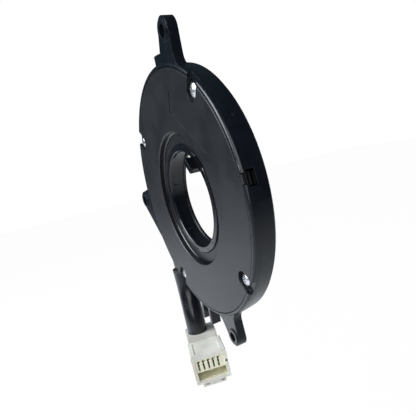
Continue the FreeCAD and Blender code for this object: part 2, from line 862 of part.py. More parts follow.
def add_snap_hooks(body):
    """Tongues behind the cover, each with a wedge for its window in the wall."""
    inner = S["wall_inner_radius"] - S["snap_thick"] - 0.3
    half = S["snap_width"] / 2
    window_front = SNAP_WINDOW_FRONT + 0.15
    tongue_end = SNAP_WINDOW_FRONT + S["snap_height"] - 0.3

    def tongue(sketch):
        draw_box(sketch, inner, S["wall_inner_radius"] - 0.3, -half, half)

    pad = plate(body, "Pad", "hook_tongue", LEDGE - 0.2, tongue_end, tongue,
                turn=S["snap_angle"])
    repeat(body, [pad], S["snap_count"])
    wedge = new_sketch(body, "hook_wedge", "XY_Plane",
                       turn=S["snap_angle"] + 3, turn_axis=V(0, -1, 0))
    reach = S["wall_inner_radius"] + 1.1
    draw_polygon(wedge, [(inner + 0.2, window_front), (reach, window_front),
                         (reach, window_front + 0.5), (inner + 0.2, tongue_end)])
    wedge_pad = turned(body, "Revolution", wedge, 6.0)
    repeat(body, [wedge_pad], S["snap_count"])


def add_marking_frame(body):
    """A bare engraved frame line at the upper right of the cover."""
    half = 0.3
    depth = 0.4
    reach = S["body_radius"]
    top = (reach * 0.188, reach * 0.804)
    corner = (reach * 0.108, reach * 0.672)
    low = (reach * 0.628, reach * 0.298)
    for number, ((x0, z0), (x1, z1)) in enumerate(((top, corner), (corner, low))):
        run_x, run_z = x1 - x0, z1 - z0
        length = root_of(run_x * run_x + run_z * run_z)
        side_x, side_z = run_z / length * half, run_x / length * half
        line = [(x0 + side_x, z0 - side_z), (x1 + side_x, z1 - side_z),
                (x1 - side_x, z1 + side_z), (x0 - side_x, z0 + side_z)]
        body.Tip = plate(body, "Pocket", f"frame_line_{number}", FRONT - 0.5, FRONT + depth,
                         lambda sketch: draw_polygon(sketch, line))


def make_rotor():
    """The driven ring: flange, sleeve, teeth, bore pockets and driving dog."""
    body = new_body("rotor")
    bore = S["bore_radius"]
    relief = bore + S["bore_relief"]
    sketch = new_sketch(body, "ring_profile", "XY_Plane")
    rear = REAR - S["rotor_rear_setback"]
    root = S["rotor_radius"]
    draw_polygon(sketch, [
        (bore + 0.3, FLANGE_FRONT), (root - 0.25, FLANGE_FRONT), (root, FLANGE_FRONT + 0.25),
        (root, TEETH_BACK), (SLEEVE_OUTER, TEETH_BACK), (SLEEVE_OUTER, rear), (bore, rear),
        (bore, rear - S["rear_lip_length"]), (relief, rear - S["rear_lip_length"] - 0.3),
        (relief, FLANGE_FRONT + S["collar_length"]), (bore, FLANGE_FRONT + S["collar_length"] - 0.3),
        (bore, FLANGE_FRONT + 0.3),
    ])
    turned(body, "Revolution", sketch)
    pocket_front = FLANGE_FRONT + S["collar_length"] + 0.2
    pocket = new_sketch(body, "bore_pocket", "XY_Plane", turn=S["pocket_start"] + S["pocket_angle"],
                        turn_axis=V(0, -1, 0))
    draw_polygon(pocket, [(bore - 1, pocket_front), (relief + S["pocket_depth"], pocket_front),
                          (relief - 0.2, pocket_front + S["pocket_length"]),
                          (bore - 1, pocket_front + S["pocket_length"])])
    repeat(body, [turned(body, "Groove", pocket, S["pocket_angle"])], S["pocket_count"])
    add_flange_slots(body)
    half = S["dog_width"] / 2
    inner = bore + 0.4

    def dog(sketch):
        draw_box(sketch, inner, inner + S["dog_thick"], -half, half)

    plate(body, "Pad", "driving_dog", FLANGE_FRONT - S["dog_reach"], FLANGE_FRONT + 0.5, dog,
          turn=S["dog_angle"])
    tooth = plate(body, "Pad", "tooth", TEETH_FRONT, TEETH_BACK,
                  lambda draw: tooth_outline(draw, ROTOR_TEETH, 0.5))
    repeat(body, [tooth], ROTOR_TEETH)
    return body


def add_flange_slots(body):
    """Curved slots and two small round marks in the front of the rotor's flange."""
    middle = S["bore_radius"] + S["flange_width"] * 0.7
    half = S["flange_slot_width"] / 2
    depth = FLANGE_FRONT + S["flange_slot_depth"]
    for number, (start, span) in enumerate(((-150.0, 22.0), (-124.0, 26.0), (122.0, 24.0))):
        body.Tip = ring(body, "Groove", f"flange_slot_{number}", middle - half, middle + half,
                        FLANGE_FRONT - 1, depth, start, span)
    for number, angle in enumerate((-52.0, -71.0)):
        body.Tip = plate(body, "Pocket", f"flange_mark_{number}", FLANGE_FRONT - 1, depth,
                         lambda sketch: draw_circle(sketch, middle - 0.4, 0, 0.35), turn=angle)
    return body.Tip


def make_measuring_gear(which):
    """A small gear with a magnet pocket in front and a pin bore behind."""
    body = new_body(f"measuring_gear_{which}")
    teeth = TEETH[which]
    root = S["gear_module"] * teeth / 2 - S["gear_module"] * 1.25
    magnet_back = HUB_FRONT + S["magnet_thick"] + 0.1
    pin_bore = S["pin_radius"] + 0.04
    sketch = new_sketch(body, "blank", "XY_Plane")
    draw_polygon(sketch, [
        (0, magnet_back), (S["magnet_radius"], magnet_back), (S["magnet_radius"], HUB_FRONT),
        (S["hub_radius"], HUB_FRONT), (S["hub_radius"], GEAR_FRONT + 0.5),
        (root - 1.2, GEAR_FRONT + 0.5), (root - 1.2, GEAR_FRONT), (root + 0.2, GEAR_FRONT),
        (root + 0.2, GEAR_BACK), (pin_bore, GEAR_BACK), (pin_bore, magnet_back + 0.35),
        (0, magnet_back + 0.35),
    ])
    turned(body, "Revolution", sketch)
    tooth = plate(body, "Pad", "tooth", GEAR_FRONT, GEAR_BACK,
                  lambda draw: tooth_outline(draw, teeth, 0.4))
    repeat(body, [tooth], teeth)
    phase = mesh_angle(which) + 180.0 + 180.0 / teeth
    x, z = on_circle(mesh_distance(which), mesh_angle(which))
    place(body, x, 0, z, V(0, -1, 0), phase)
    return body


def make_magnet(which):
    """The disc magnet pressed into a measuring gear."""
    body = new_body(f"magnet_{which}")
    ring(body, "Revolution", "magnet_disc", 0, S["magnet_radius"],
         HUB_FRONT + 0.1, HUB_FRONT + 0.1 + S["magnet_thick"])
    x, z = on_circle(mesh_distance(which), mesh_angle(which))
    place(body, x, 0, z)
    return body


def make_gear_pins():
    """Two steel pins pressed into the housing floor, one in each measuring gear."""
    body = new_body("gear_pins")
    front = HUB_FRONT + S["magnet_thick"] + 0.1 + 0.35 + 0.1
    for which in ("a", "b"):
        centre = mesh_distance(which)
        plate(body, "Pad", f"pin_{which}", front, GEAR_BACK + 1.85,
              lambda sketch: draw_circle(sketch, centre, 0, S["pin_radius"]),
              turn=mesh_angle(which))
    return body


def make_circuit_board():
    """The curved board with its screw holes and clearances."""
    body = new_body("circuit_board")
    ring(body, "Revolution", "board", S["board_inner"], S["board_outer"],
         BOARD_FRONT, BOARD_BACK, S["board_start"], S["board_span"])
    for number, angle in enumerate(BOARD_POSTS):
        plate(body, "Pocket", f"board_hole_{number}", BOARD_FRONT - 0.5, BOARD_BACK + 0.5,
              lambda sketch: draw_circle(sketch, S["board_post_circle"], 0, 0.95),
              turn=angle)
    for number, step in enumerate((90.0, 180.0)):
        cut = plate(body, "Pocket", f"screw_clearance_{number}", BOARD_FRONT - 0.5,
                    BOARD_BACK + 0.5,
                    lambda sketch: draw_box(sketch, S["screw_circle"] - 4.6,
                                            S["body_radius"], -4.4, 4.4),
                    turn=S["screw_angle"] + step)
        body.Tip = cut
    return body


def make_chip(name, radius, angle, length, width, height, spin=0.0, edge=0.15):
    """A moulded chip on the board's rear face, turned about Y to face the axis."""
    body = new_body(name)
    sketch = new_sketch(body, f"{name}_outline", "XZ_Plane")
    draw_box(sketch, -length / 2, length / 2, -width / 2, width / 2)
    extrude(body, "Pad", sketch, height, backwards=True)
    doc.recompute()
    chamfer = body.newObject("PartDesign::Chamfer", f"{name}_edge")
    pad = body.Group[-2]
    top = [f"Edge{n}" for n, e in enumerate(pad.Shape.Edges, start=1)
           if abs(e.CenterOfMass.y - height) < 1e-6]
    chamfer.Base = (pad, top)
    chamfer.Size = edge
    body.Tip = chamfer
    x, z = on_circle(radius, angle)
    place(body, x, BOARD_BACK, z, V(0, -1, 0), Size.of(angle) + spin)
    return body


def make_group(name, pieces):
    """Small like pieces of one node, as separate pads; each is (x, z, long, wide, tall)."""
    body = new_body(name)
    for number, (x, z, long, wide, tall) in enumerate(pieces):
        plate(body, "Pad", f"{name}_{number}", BOARD_BACK, BOARD_BACK + tall,
              lambda sketch: draw_box(sketch, x - long / 2, x + long / 2,
                                      z - wide / 2, z + wide / 2))
    return body


def make_board_parts():
    """The electronic parts on the rear face of the board."""
    made = []
    for which in ("a", "b"):
        made.append(make_chip(f"angle_sensor_{which}", mesh_distance(which), mesh_angle(which),
                              4.4, 5.0, 0.7))
    middle = S["board_middle"]
    made.append(make_chip("microcontroller", middle - 0.6, 163.0, 7.0, 7.0, 1.0))
    made.append(make_chip("bus_transceiver", middle - 0.2, 141.0, 4.9, 3.9, 1.2))
    made.append(make_chip("voltage_regulator", middle - 0.4, 120.0, 6.5, 3.5, 1.4))
    made.append(make_chip("crystal", middle - 1.7, 216.0, 3.2, 5.0, 0.9))
    inner_row = middle - 3.2
    outer_row = S["board_outer"] - 3.1
    capacitors = [(*on_circle(inner_row, angle), 2.0, 1.25, 1.2)
                  for angle in (104.0, 110.0, 131.0, 232.0)]
    resistors = [(*on_circle(outer_row, angle), 1.6, 0.8, 0.5)
                 for angle in (115.0, 122.0, 129.0, 167.0, 247.0)]
    made.append(make_group("board_capacitors", capacitors))
    made.append(make_group("board_resistors", resistors))
    return made


def make_board_header():
    """The header on the board that the leads are crimped into."""
    body = new_body("board_header")
    half = S["lead_pitch"] * (S["lead_count"] - 1) / 2 + 1.4
    plate(body, "Pad", "header_block", BOARD_BACK, BOARD_BACK + 4.2,
          lambda sketch: draw_box(sketch, S["header_face"] - 4.4, S["header_face"], -half, half),
          turn=S["outlet_angle"])
    return body


def screw_solid(body, name, radius, angle, front, sizes):
    """One pan head screw revolved about its own axis; sizes are head radius, head, radius, length."""
    head_radius, head, shank, length = (Size.of(size) for size in sizes)
    sketch = new_sketch(body, name, "XY_Plane")
    x, z = on_circle(radius, angle)
    sketch.AttachmentOffset = FreeCAD.Placement(V(x.value, front.value, z.value),
                                                FreeCAD.Rotation())
    for axis, size in (("x", x), ("y", front), ("z", z)):
        sketch.setExpression(f".AttachmentOffset.Base.{axis}", size.text)
    crown = head * 0.6
    sphere = (head_radius * head_radius + crown * crown) / (crown * 2)
    draw_outline(sketch, [
        (0, 0, -sphere), (head_radius, crown), (head_radius, head),
        (shank, head), (shank, length - 0.5), (shank - 0.4, length), (0, length),
    ])
    feature = body.newObject("PartDesign::Revolution", f"{name}_solid")
    feature.Profile = sketch
    feature.ReferenceAxis = (sketch, ["V_Axis"])
    feature.Angle = 360
    return feature


def make_cover_screws():
    """Four pan head screws with cross recesses, driven through the cover."""
    body = new_body("cover_screws")
    front = FRONT + S["notch_depth"] - S["screw_head_thick"]
    sizes = (S["screw_head_radius"], S["screw_head_thick"], S["screw_radius"] - 0.02,
             S["screw_length"])
    parts = [screw_solid(body, "screw", S["screw_circle"], S["screw_angle"], front, sizes)]
    centre = S["screw_circle"]
    for name, long, wide in (("slot_across", 1.2, 0.3), ("slot_up", 0.3, 1.2)):
        parts.append(plate(body, "Pocket", name, front - 0.2, front + 0.8,
                           lambda draw: draw_box(draw, centre - long, centre + long, -wide, wide),
                           turn=S["screw_angle"]))
    repeat(body, parts, 4)
    return body


def make_board_screws():
    """The four small screws that hold the board on its posts."""
    body = new_body("board_screws")
    for number, angle in enumerate(BOARD_POSTS):
        screw_solid(body, f"small_screw_{number}", S["board_post_circle"], angle,
                    BOARD_FRONT - 0.7, (1.5, 0.7, 0.78, 4.6))
    return body


def block(body, kind, name, x_range, y_range, z_range):
    """A box added to a body or cut from it, between its X, Y and Z limits."""
    low, high = Size.of(z_range[0]), Size.of(z_range[1])
    sketch = new_sketch(body, name, "XY_Plane", lift=low if kind == "Pad" else high)
    draw_box(sketch, *x_range, *y_range)
    feature = extrude(body, kind, sketch, high - low)
    body.Tip = feature
    return feature


def bore(body, kind, name, x, y, radius, z_range):
    """A round post or hole along Z."""
    low, high = Size.of(z_range[0]), Size.of(z_range[1])
    sketch = new_sketch(body, name, "XY_Plane", lift=low if kind == "Pad" else high)
    draw_circle(sketch, x, y, radius)
    feature = extrude(body, kind, sketch, high - low)
    body.Tip = feature
    return feature


def in_connector(body):
    """Puts a body into the connector's place, with its X out of the mouth."""
    place(body, S["mouth_x"], S["mouth_y"], S["mouth_z"], V(0, 0, 1), S["mouth_turn"])
    return body


def make_connector_shell():
    """The plug-in connector: outer shell, contact chambers, lower mouth and rail."""
    body = new_body("connector_shell")
    half_width = S["shell_width"] / 2
    half_height = S["shell_height"] / 2
    back = -S["shell_length"]
    block(body, "Pad", "shell", (back, 0), (-half_width, half_width), (-half_height, half_height))
    round_edges(body, "shell_corners", S["shell_corner"],
                lambda e: abs(e.Vertexes[0].X - e.Vertexes[1].X) > 1)
    wall = S["shell_wall"]
    inner = half_width - wall
    block(body, "Pocket", "top_panel", (back + 2.2, -2.6), (-inner + 1, inner - 1),
          (half_height - S["panel_depth"], half_height + 1))
    deck = S["deck_height"]
    top = S["face_top"]
    block(body, "Pocket", "face_step", (-S["face_step"], 1), (-inner, inner), (deck, top))
    block(body, "Pocket", "lower_mouth", (-S["mouth_depth"], 1), (-inner + 0.2, inner - 0.2),
          (-half_height + wall, deck + 0.01))
    for number in range(int(S["lead_count"].value)):
        y = S["pole_first"] + S["pole_pitch"] * number
        chamber = S["chamber_width"] / 2
        slot = S["slot_width"] / 2
        block(body, "Pocket", f"chamber_{number}", (back - 1, -S["front_wall"]),
              (y - chamber, y + chamber), (deck + 0.6, top - 0.9))
        block(body, "Pocket", f"slot_{number}", (-S["front_wall"] - 1, 0),
              (y - slot, y + slot), (deck + 0.7, top - 0.9))
        block(body, "Pocket", f"slot_hook_{number}", (-S["front_wall"] - 1, 0),
              (y, y + slot + 0.6), (top - 1.8, top - 0.9))
    block(body, "Pocket", "key_slot", (-3.0, 1), (half_width - 1.4, half_width + 1), (0.5, 2.1))
    block(body, "Pocket", "wire_room", (back - 1, back + 2.4), (-inner + 0.3, inner - 0.3),
          (deck + 0.3, top - 0.5))
    rail = -half_height - S["rail_height"]
    block(body, "Pad", "rail", (-9.0, -0.6), (-6.0, 6.0), (rail, -half_height + 0.3))
    for name, y in (("rail_slot_left", -3.6), ("rail_slot_right", 4.4)):
        block(body, "Pocket", name, (-9.5, 0), (y - 0.9, y + 0.9), (rail + 0.8, rail + 1.5))
    return in_connector(body)


def make_terminal_lock():
    """The light insert on the floor of the lower mouth that locks the contacts."""
    body = new_body("terminal_lock")
    floor = -S["shell_height"] / 2 + S["shell_wall"]
    half = S["shell_width"] / 2 - S["shell_wall"] - 0.25
    back = -S["mouth_depth"] + 0.02
    block(body, "Pad", "lock_floor", (back, -0.6), (-half, half), (floor, floor + S["lock_thick"]))
    block(body, "Pad", "lock_back", (back, back + 1.0), (-half, half),
          (floor + 0.1, S["deck_height"] - 0.05))
    for number in range(int(S["lead_count"].value)):
        y = S["pole_first"] + S["pole_pitch"] * number
        block(body, "Pocket", f"lock_groove_{number}", (back + 0.7, back + 1.2),
              (y - 0.45, y + 0.45), (floor + 1.4, S["deck_height"] - 0.6))
    return in_connector(body)


def make_connector_terminals():
    """Five crimped contacts, one in each chamber."""
    body = new_body("connector_terminals")
    middle = S["contact_height"]
    start, end = S["crimp_start"], S["contact_end"]
    for number in range(int(S["lead_count"].value)):
        y = S["pole_first"] + S["pole_pitch"] * number
        block(body, "Pad", f"contact_{number}", (-end, -S["front_wall"] - 0.3),
              (y - 0.85, y + 0.85), (middle - 1.1, middle + 1.1))
        block(body, "Pocket", f"contact_room_{number}", (-end + 1.0, 0), (y - 0.6, y + 0.6),
              (middle - 0.8, middle + 0.8))
        block(body, "Pad", f"contact_neck_{number}", (-start - 0.2, -end + 0.2),
              (y - 0.85, y + 0.85), (middle - 1.1, middle - 0.8))
        block(body, "Pad", f"crimp_{number}", (-S["crimp_end"], -start), (y - 0.9, y + 0.9),
              (middle - 1.1, middle + 0.9))
        crimp = new_sketch(body, f"crimp_bore_{number}", "YZ_Plane", lift=-start - 0.5)
        draw_circle(crimp, y, middle, S["lead_radius"])
        body.Tip = extrude(body, "Pocket", crimp, 3.5)
    return in_connector(body)


def make_wire_cover():
    """The hood behind the connector that turns the leads upwards into the sleeve."""
    body = new_body("wire_cover")
    wall = S["hood_wall"]
    front = -S["shell_length"]
    back = front - S["hood_length"]
    half = S["hood_width"] / 2
    bottom = -S["shell_height"] / 2 + 0.85
    top = S["shell_height"] / 2 + S["hood_rise"]
    shelf = top - S["hood_rise"]
    seat = S["hood_seat"]
    block(body, "Pad", "hood", (back, front), (-half, half), (bottom, top))
    round_edges(body, "hood_corners", S["hood_corner"],
                lambda e: abs(e.Vertexes[0].Z - e.Vertexes[1].Z) > 1
                and e.Vertexes[0].X < front.value - 1)
    block(body, "Pocket", "hood_room", (back + wall, front + 1), (-half + wall, half - wall),
          (bottom + wall, shelf - wall))
    bore(body, "Pocket", "sleeve_seat", (back + front) / 2, seat, S["sleeve_radius"] + 0.1,
         (shelf, top + 1))
    bore(body, "Pocket", "wire_hole", (back + front) / 2, seat, S["sleeve_radius"] - 1.0,
         (shelf - wall - 1, shelf + 1))
    return in_connector(body)


def connector_point(x, y, z):
    """A point of the connector's own frame in the frame of the whole object."""
    turn = math.radians(S["mouth_turn"].value)
    return V(S["mouth_x"].value + x * math.cos(turn) - y * math.sin(turn),
             S["mouth_y"].value + x * math.sin(turn) + y * math.cos(turn),
             S["mouth_z"].value + z)


def hood_centre():
    """Local X of the middle of the hood."""
    return -(S["shell_length"].value + S["hood_length"].value / 2)


def sleeve_route():
    """Corner points of the sleeve's centre line, from the grommet to the hood."""
    shelf = S["shell_height"].value / 2
    seat = connector_point(hood_centre(), S["hood_seat"].value, shelf)
    top = V(S["outlet_x"].value, S["outlet_y"].value,
            S["outlet_bottom"].value - S["grommet_flange"].value)
    return [top, top - V(0, 0, 9.5), seat + V(0, 0, 9.45), seat]


def lead_route(number):
    """Corner points of one lead, from the board header to its contact."""
    count = int(S["lead_count"].value)
    offset = (number - (count - 1) / 2) * S["lead_pitch"].value
    angle = math.radians(S["outlet_angle"].value)
    out = V(math.cos(angle), 0, math.sin(angle))
    across = V(-math.sin(angle), 0, math.cos(angle))
    y = V(0, S["outlet_y"].value, 0)
    bend = out * (S["outlet_x"].value / out.x) + y
    mitre = (across + V(1, 0, 0)) * (1 / (1 + across.x))
    top, first, second, seat = sleeve_route()
    row_turn = math.radians(90.0 + S["mouth_turn"].value)
    halfway = V(math.cos(row_turn / 2), math.sin(row_turn / 2), 0)
    turned_row = V(math.cos(row_turn), math.sin(row_turn), 0)
    height = S["contact_height"].value
    pole = S["pole_first"].value + S["pole_pitch"].value * number
    hood = connector_point(hood_centre(), S["hood_seat"].value + offset, height)
    return [
        out * S["header_face"].value + across * offset + y,
        bend + mitre * offset,
        first + V(offset, 0, 0),
        (first + second) * 0.5 + halfway * offset,
        second + turned_row * offset,
        hood,
        connector_point(-S["crimp_end"].value - 2.2, pole, height),
        connector_point(-S["crimp_start"].value - 0.8, pole, height),
    ]


def tangent_path(points):
    """Straight runs joined by tangent arcs; returns the wire, its length and radii."""
    runs = [points[n + 1] - points[n] for n in range(len(points) - 1)]
    edges = []
    radii = []
    start = points[0]
    for number in range(1, len(points) - 1):
        before, after = runs[number - 1], runs[number]
        half = before.getAngle(after) / 2
        if half < 0.002:
            continue
        cut = 0.45 * min(before.Length, after.Length)
        into = V(before).normalize()
        away = V(after).normalize()
        corner = points[number]
        enter, leave = corner - into * cut, corner + away * cut
        radius = cut / math.tan(half)
        inward = (away - into).normalize()
        middle = corner + inward * (radius / math.cos(half) - radius)
        edges.append(Part.LineSegment(start, enter).toShape())
        edges.append(Part.Arc(enter, middle, leave).toShape())
        radii.append(round(radius, 2))
        start = leave
    edges.append(Part.LineSegment(start, points[-1]).toShape())
    wire = Part.Wire(edges)
    return wire, wire.Length, radii


def swept(wire, radius):
    """A round solid along a wire."""
    edge = wire.OrderedEdges[0]
    start = edge.valueAt(edge.FirstParameter)
    circle = Part.Circle(start, edge.tangentAt(edge.FirstParameter), radius)
    return wire.makePipeShell([Part.Wire([circle.toShape()])], True, True)


def shape_object(name, shape):
    """A document object that holds a finished shape."""
    item = doc.addObject("Part::Feature", name)
    item.Label = name
    item.Shape = shape
    return item


def make_sleeve():
    """The black sleeve tube over the leads."""
    wire, length, radii = tangent_path(sleeve_route())
    outer = S["sleeve_radius"].value
    inner = outer - S["cable_wall"].value
    tube = swept(wire, outer).cut(swept(wire, inner))
    section = math.pi * (outer ** 2 - inner ** 2)
    print(f"sleeve length {length:.2f} radii {radii} volume {tube.Volume:.2f}"
          f" expected {section * length:.2f}")
    return shape_object("cable_sleeve", tube)


def make_leads():
    """The five leads, from the board to their contacts, as separate solids."""
    leads = []
    radius = S["lead_radius"].value
    for number in range(int(S["lead_count"].value)):
        wire, length, radii = tangent_path(lead_route(number))
        lead = swept(wire, radius)
        print(f"lead {number} length {length:.2f} radii {radii} volume {lead.Volume:.2f}"
              f" expected {math.pi * radius ** 2 * length:.2f}")
        leads.append(lead)
    return shape_object("lead_wires", Part.makeCompound(leads))


def make_grommet():
    """The rubber grommet between the outlet block and the sleeve."""
    body = new_body("cable_grommet")
    x, y, low = S["outlet_x"], S["outlet_y"], S["outlet_bottom"]
    flange = S["grommet_flange"]
    spigot = S["sleeve_radius"] - S["cable_wall"] - 0.02
    bore(body, "Pad", "flange", x, y, S["sleeve_radius"], (low - flange, low))
    bore(body, "Pad", "spigot", x, y, spigot, (low - flange - 4.5, low - flange + 0.3))
    half = S["lead_pitch"] * (S["lead_count"] - 1) / 2 + S["lead_radius"] + 0.05
    block(body, "Pocket", "lead_way", (x - half, x + half),
          (y - S["lead_radius"] - 0.05, y + S["lead_radius"] + 0.05), (low - 8, low + 4))
    return body


def make_all():
    """Builds every piece in the order in which the object goes together."""
    made = [make_housing(), make_cover(), make_rotor()]
    for which in ("a", "b"):
        made += [make_measuring_gear(which), make_magnet(which)]
    made += [make_gear_pins(), make_circuit_board(), *make_board_parts(), make_board_header()]
    made += [make_cover_screws(), make_board_screws(), make_grommet(), make_leads()]
    made += [make_sleeve(), make_wire_cover(), make_connector_shell(), make_terminal_lock()]
    made.append(make_connector_terminals())
    return made


def export(pieces):
    """Checks every object and writes each piece to its own file."""
    doc.recompute()
    for item in doc.Objects:
        if "Invalid" in item.State or "Error" in item.State:
            raise RuntimeError(f"{item.Label}: {item.State} {item.getStatusString()}")
    for piece in pieces:
        shape = piece.Shape
        if shape.isNull() or not shape.isValid() or not shape.Solids:
            raise RuntimeError(f"{piece.Label}: no valid solid")
        print(f"{piece.Label}: {len(shape.Solids)} solids, {shape.Volume:.1f} mm3,"
              f" box {shape.BoundBox}")
        shape.exportStep(f"parts/{piece.Label}.step")


export(make_all())
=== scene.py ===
"""Steering angle sensor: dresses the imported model, lights it and sets the camera.

All lengths are in metres. X points right, Y to the rear and Z up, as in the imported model.
"""

import logging
import math
from dataclasses import dataclass
from enum import Enum
from typing import Optional, Sequence, Tuple, Union

import bpy
import numpy as np
from mathutils import Matrix, Vector


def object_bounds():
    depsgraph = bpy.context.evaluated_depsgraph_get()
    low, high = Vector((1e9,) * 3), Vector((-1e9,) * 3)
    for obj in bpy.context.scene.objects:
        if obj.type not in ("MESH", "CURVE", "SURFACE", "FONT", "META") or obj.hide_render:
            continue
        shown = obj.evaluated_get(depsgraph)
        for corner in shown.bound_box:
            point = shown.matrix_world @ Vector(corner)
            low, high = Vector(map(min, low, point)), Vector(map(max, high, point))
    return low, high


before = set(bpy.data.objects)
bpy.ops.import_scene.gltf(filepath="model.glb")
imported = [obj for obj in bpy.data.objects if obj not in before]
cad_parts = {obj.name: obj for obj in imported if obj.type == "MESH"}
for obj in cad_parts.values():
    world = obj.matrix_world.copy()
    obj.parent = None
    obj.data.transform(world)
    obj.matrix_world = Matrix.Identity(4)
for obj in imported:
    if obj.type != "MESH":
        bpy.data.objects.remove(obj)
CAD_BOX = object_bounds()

LOG = logging.getLogger("sensor")
Colour = Tuple[float, float, float]
Number = Union[int, float]


class Grain(Enum):
    """The kinds of fine surface relief used on the moulded pieces."""

    SPARK_ERODED = "spark eroded"
    POLISHED = "polished"
    EXTRUDED = "extruded"


class Value:
    """A number that comes out of a node, with the arithmetic that the finishes use."""

    def __init__(self, graph: "Graph", socket: bpy.types.NodeSocket) -> None:
        """Wraps one output socket of a graph."""
        self.graph = graph
        self.socket = socket

    def _math(self, operation: str, first: "Operand", second: "Operand") -> "Value":
        """Adds one Math node.

        Args:
            operation: the node's operation.
            first: its first operand.
            second: its second operand.

        Returns:
            The node's result.
        """
        made = self.graph.node("ShaderNodeMath", {"operation": operation}, {0: first, 1: second})
        return Value(self.graph, made.outputs[0])

    def __add__(self, other: "Operand") -> "Value":
        """Sum."""
        return self._math("ADD", self, other)

    def __radd__(self, other: "Operand") -> "Value":
        """Sum with a plain number on the left."""
        return self._math("ADD", other, self)

    def __sub__(self, other: "Operand") -> "Value":
        """Difference."""
        return self._math("SUBTRACT", self, other)

    def __rsub__(self, other: "Operand") -> "Value":
        """Difference with a plain number on the left."""
        return self._math("SUBTRACT", other, self)

    def __mul__(self, other: "Operand") -> "Value":
        """Product."""
        return self._math("MULTIPLY", self, other)

    def __rmul__(self, other: "Operand") -> "Value":
        """Product with a plain number on the left."""
        return self._math("MULTIPLY", other, self)

    def __truediv__(self, other: "Operand") -> "Value":
        """Quotient."""
        return self._math("DIVIDE", self, other)

    def __gt__(self, other: "Operand") -> "Value":
        """One where this is greater, else zero."""
        return self._math("GREATER_THAN", self, other)

    def ramp(self, low: float, high: float) -> "Value":
        """Zero below low, one above high and a smooth rise between them.

        Args:
            low: where the rise starts.
            high: where it ends.

        Returns:
            The eased value.
        """
        made = self.graph.node("ShaderNodeMapRange", {"interpolation_type": "SMOOTHSTEP"},
                               {"Value": self, "From Min": low, "From Max": high})
        return Value(self.graph, made.outputs["Result"])


Operand = Union[Value, Number]


